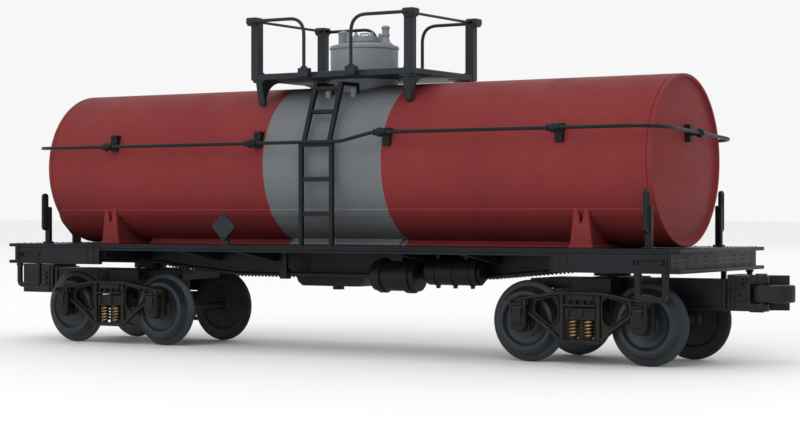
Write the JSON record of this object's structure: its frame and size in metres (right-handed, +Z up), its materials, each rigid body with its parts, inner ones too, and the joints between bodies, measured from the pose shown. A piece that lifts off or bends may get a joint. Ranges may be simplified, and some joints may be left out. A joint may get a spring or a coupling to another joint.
{
  "type": "model railway tank car",
  "caption": "Scale model single-dome tank car with platform, ladders, handrails, swivelling trucks, turning wheels and truck-mounted opening couplers.",
  "frame": {"origin": "on the plane under the wheel flanges, below the middle of the car", "axes": "+X along the car towards its front end, +Z up, +Y towards its far side"},
  "size_m": [0.263, 0.0586, 0.0969],
  "materials": {
    "tank_red": "satin paint, with a grey painted band round the middle",
    "dome_grey": "satin grey paint",
    "platform_slate": "matt dark slate moulding",
    "fittings_black": "satin black paint on wire and castings",
    "frame_black": "satin black paint on die casting",
    "truck_iron": "dark brown-black weathered casting",
    "coupler_metal": "blackened die casting",
    "spring_brass": "dulled sprung wire",
    "wheel_metal": "blackened turned metal, brighter on the tread",
    "pin_steel": "dull steel"
  },
  "bodies": {
    "car_body": {"tank_barrel": "tank_red", "tank_head_front": "tank_red", "tank_head_rear": "tank_red", "tank_saddles": "tank_red", "tank_base_rails": "tank_red", "dome": "dome_grey", "dome_cover": "dome_grey", "dome_fittings": "dome_grey", "platform_deck": "platform_slate", "platform_brackets": "platform_slate", "platform_posts": "platform_slate", "platform_rails": "platform_slate", "ladder_near": "fittings_black", "ladder_far": "fittings_black", "ladder_lugs": "dome_grey", "handrail_front": "fittings_black", "handrail_rear": "fittings_black", "handrail_stanchions": "fittings_black", "frame_deck": "frame_black", "side_sill_near": "frame_black", "side_sill_far": "frame_black", "centre_sill": "frame_black", "end_sill_front": "frame_black", "end_sill_rear": "frame_black", "body_bolsters": "frame_black", "cross_bearers": "frame_black", "centre_plates": "frame_black", "kingpins": "pin_steel", "stirrup_steps": "fittings_black", "corner_posts": "fittings_black", "placard_boards": "platform_slate", "bottom_outlet": "frame_black", "brake_cylinder": "frame_black", "air_reservoir": "frame_black", "brake_rod": "frame_black", "hand_brake_stand": "fittings_black", "hand_brake_wheel": "fittings_black"},
    "front_truck": {"front_side_frame_near": "truck_iron", "front_side_frame_far": "truck_iron", "front_bolster": "truck_iron", "front_springs": "spring_brass", "front_coupler": "coupler_metal", "front_knuckle_pin": "pin_steel"},
    "front_outer_wheelset": {"front_outer_wheels": "wheel_metal", "front_outer_axle": "wheel_metal"},
    "front_inner_wheelset": {"front_inner_wheels": "wheel_metal", "front_inner_axle": "wheel_metal"},
    "front_knuckle_jaw": {"front_knuckle": "coupler_metal"},
    "rear_truck": {"rear_side_frame_near": "truck_iron", "rear_side_frame_far": "truck_iron", "rear_bolster": "truck_iron", "rear_springs": "spring_brass", "rear_coupler": "coupler_metal", "rear_knuckle_pin": "pin_steel"},
    "rear_outer_wheelset": {"rear_outer_wheels": "wheel_metal", "rear_outer_axle": "wheel_metal"},
    "rear_inner_wheelset": {"rear_inner_wheels": "wheel_metal", "rear_inner_axle": "wheel_metal"},
    "rear_knuckle_jaw": {"rear_knuckle": "coupler_metal"}
  },
  "joints": [
    {"name": "front_truck_swivel", "type": "hinge", "parent": "car_body", "child": "front_truck", "pos_m": [0.0796, 0, 0.0227], "axis": [0, 0, 1], "range_deg": [-20, 20]},
    {"name": "front_outer_axle_spin", "type": "hinge", "parent": "front_truck", "child": "front_outer_wheelset", "pos_m": [0.09705, 0, 0.011], "axis": [0, 1, 0], "continuous": true},
    {"name": "front_inner_axle_spin", "type": "hinge", "parent": "front_truck", "child": "front_inner_wheelset", "pos_m": [0.06215, 0, 0.011], "axis": [0, 1, 0], "continuous": true},
    {"name": "front_knuckle_hinge", "type": "hinge", "parent": "front_truck", "child": "front_knuckle_jaw", "pos_m": [0.1234, -0.0036, 0.01915], "axis": [0, 0, -1], "range_deg": [0, 50]},
    {"name": "rear_truck_swivel", "type": "hinge", "parent": "car_body", "child": "rear_truck", "pos_m": [-0.0796, 0, 0.0227], "axis": [0, 0, 1], "range_deg": [-20, 20]},
    {"name": "rear_outer_axle_spin", "type": "hinge", "parent": "rear_truck", "child": "rear_outer_wheelset", "pos_m": [-0.09705, 0, 0.011], "axis": [0, 1, 0], "continuous": true},
    {"name": "rear_inner_axle_spin", "type": "hinge", "parent": "rear_truck", "child": "rear_inner_wheelset", "pos_m": [-0.06215, 0, 0.011], "axis": [0, 1, 0], "continuous": true},
    {"name": "rear_knuckle_hinge", "type": "hinge", "parent": "rear_truck", "child": "rear_knuckle_jaw", "pos_m": [-0.1234, 0.0036, 0.01915], "axis": [0, 0, -1], "range_deg": [0, 50]}
  ]
}
